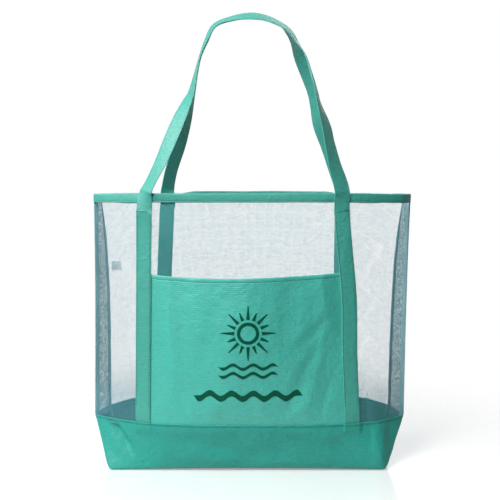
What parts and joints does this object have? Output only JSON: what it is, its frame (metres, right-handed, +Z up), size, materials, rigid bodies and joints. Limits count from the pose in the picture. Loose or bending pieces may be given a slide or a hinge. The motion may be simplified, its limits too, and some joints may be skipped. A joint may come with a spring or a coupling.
{
  "type": "mesh beach bag",
  "caption": "Open-topped tote of see-through mesh on a boxed fabric base, with a bound rim, a front pocket and two long strap handles.",
  "frame": {"origin": "centre of the rectangle that bounds the bag from above, on the surface it stands on", "axes": "+X towards the bag's right seen from the front, -Y out of the front (pocket) side, +Z up"},
  "size_m": [0.5074, 0.1922, 0.7221],
  "materials": {
    "mesh": "open woven mesh",
    "base_fabric": "matte ribbed weave",
    "pocket_fabric": "matte ribbed weave",
    "binding_fabric": "matte ribbed weave",
    "strap_fabric": "matte ribbed weave",
    "seam_tape": "matte",
    "thread": "matte thread",
    "label": "satin"
  },
  "bodies": {
    "bag": {"front_mesh_panel": "mesh", "back_mesh_panel": "mesh", "left_mesh_gusset": "mesh", "right_mesh_gusset": "mesh", "base_bottom_panel": "base_fabric", "base_front_panel": "base_fabric", "base_back_panel": "base_fabric", "base_left_end": "base_fabric", "base_right_end": "base_fabric", "rim_binding_front": "binding_fabric", "rim_binding_back": "binding_fabric", "rim_binding_left": "binding_fabric", "rim_binding_right": "binding_fabric", "front_left_seam_tape": "seam_tape", "front_right_seam_tape": "seam_tape", "back_left_seam_tape": "seam_tape", "back_right_seam_tape": "seam_tape", "front_pocket": "pocket_fabric", "pocket_hem": "pocket_fabric", "front_left_strap": "strap_fabric", "front_right_strap": "strap_fabric", "back_left_strap": "strap_fabric", "back_right_strap": "strap_fabric", "strap_cross_stitching": "thread"},
    "front_handle": {"front_handle": "strap_fabric"},
    "back_handle": {"back_handle": "strap_fabric"},
    "care_label": {"care_label": "label"}
  },
  "joints": [
    {"name": "front_handle_fold", "type": "hinge", "parent": "bag", "child": "front_handle", "pos_m": [0, -0.0724, 0.411], "axis": [1, 0, 0], "range_deg": [0, 170]},
    {"name": "back_handle_fold", "type": "hinge", "parent": "bag", "child": "back_handle", "pos_m": [0, 0.07201, 0.411], "axis": [-1, 0, 0], "range_deg": [0, 170]},
    {"name": "care_label_swing", "type": "hinge", "parent": "bag", "child": "care_label", "pos_m": [-0.2276, 0.0124, 0.3165], "axis": [0, 0, 1], "range_deg": [-60, 30]}
  ]
}
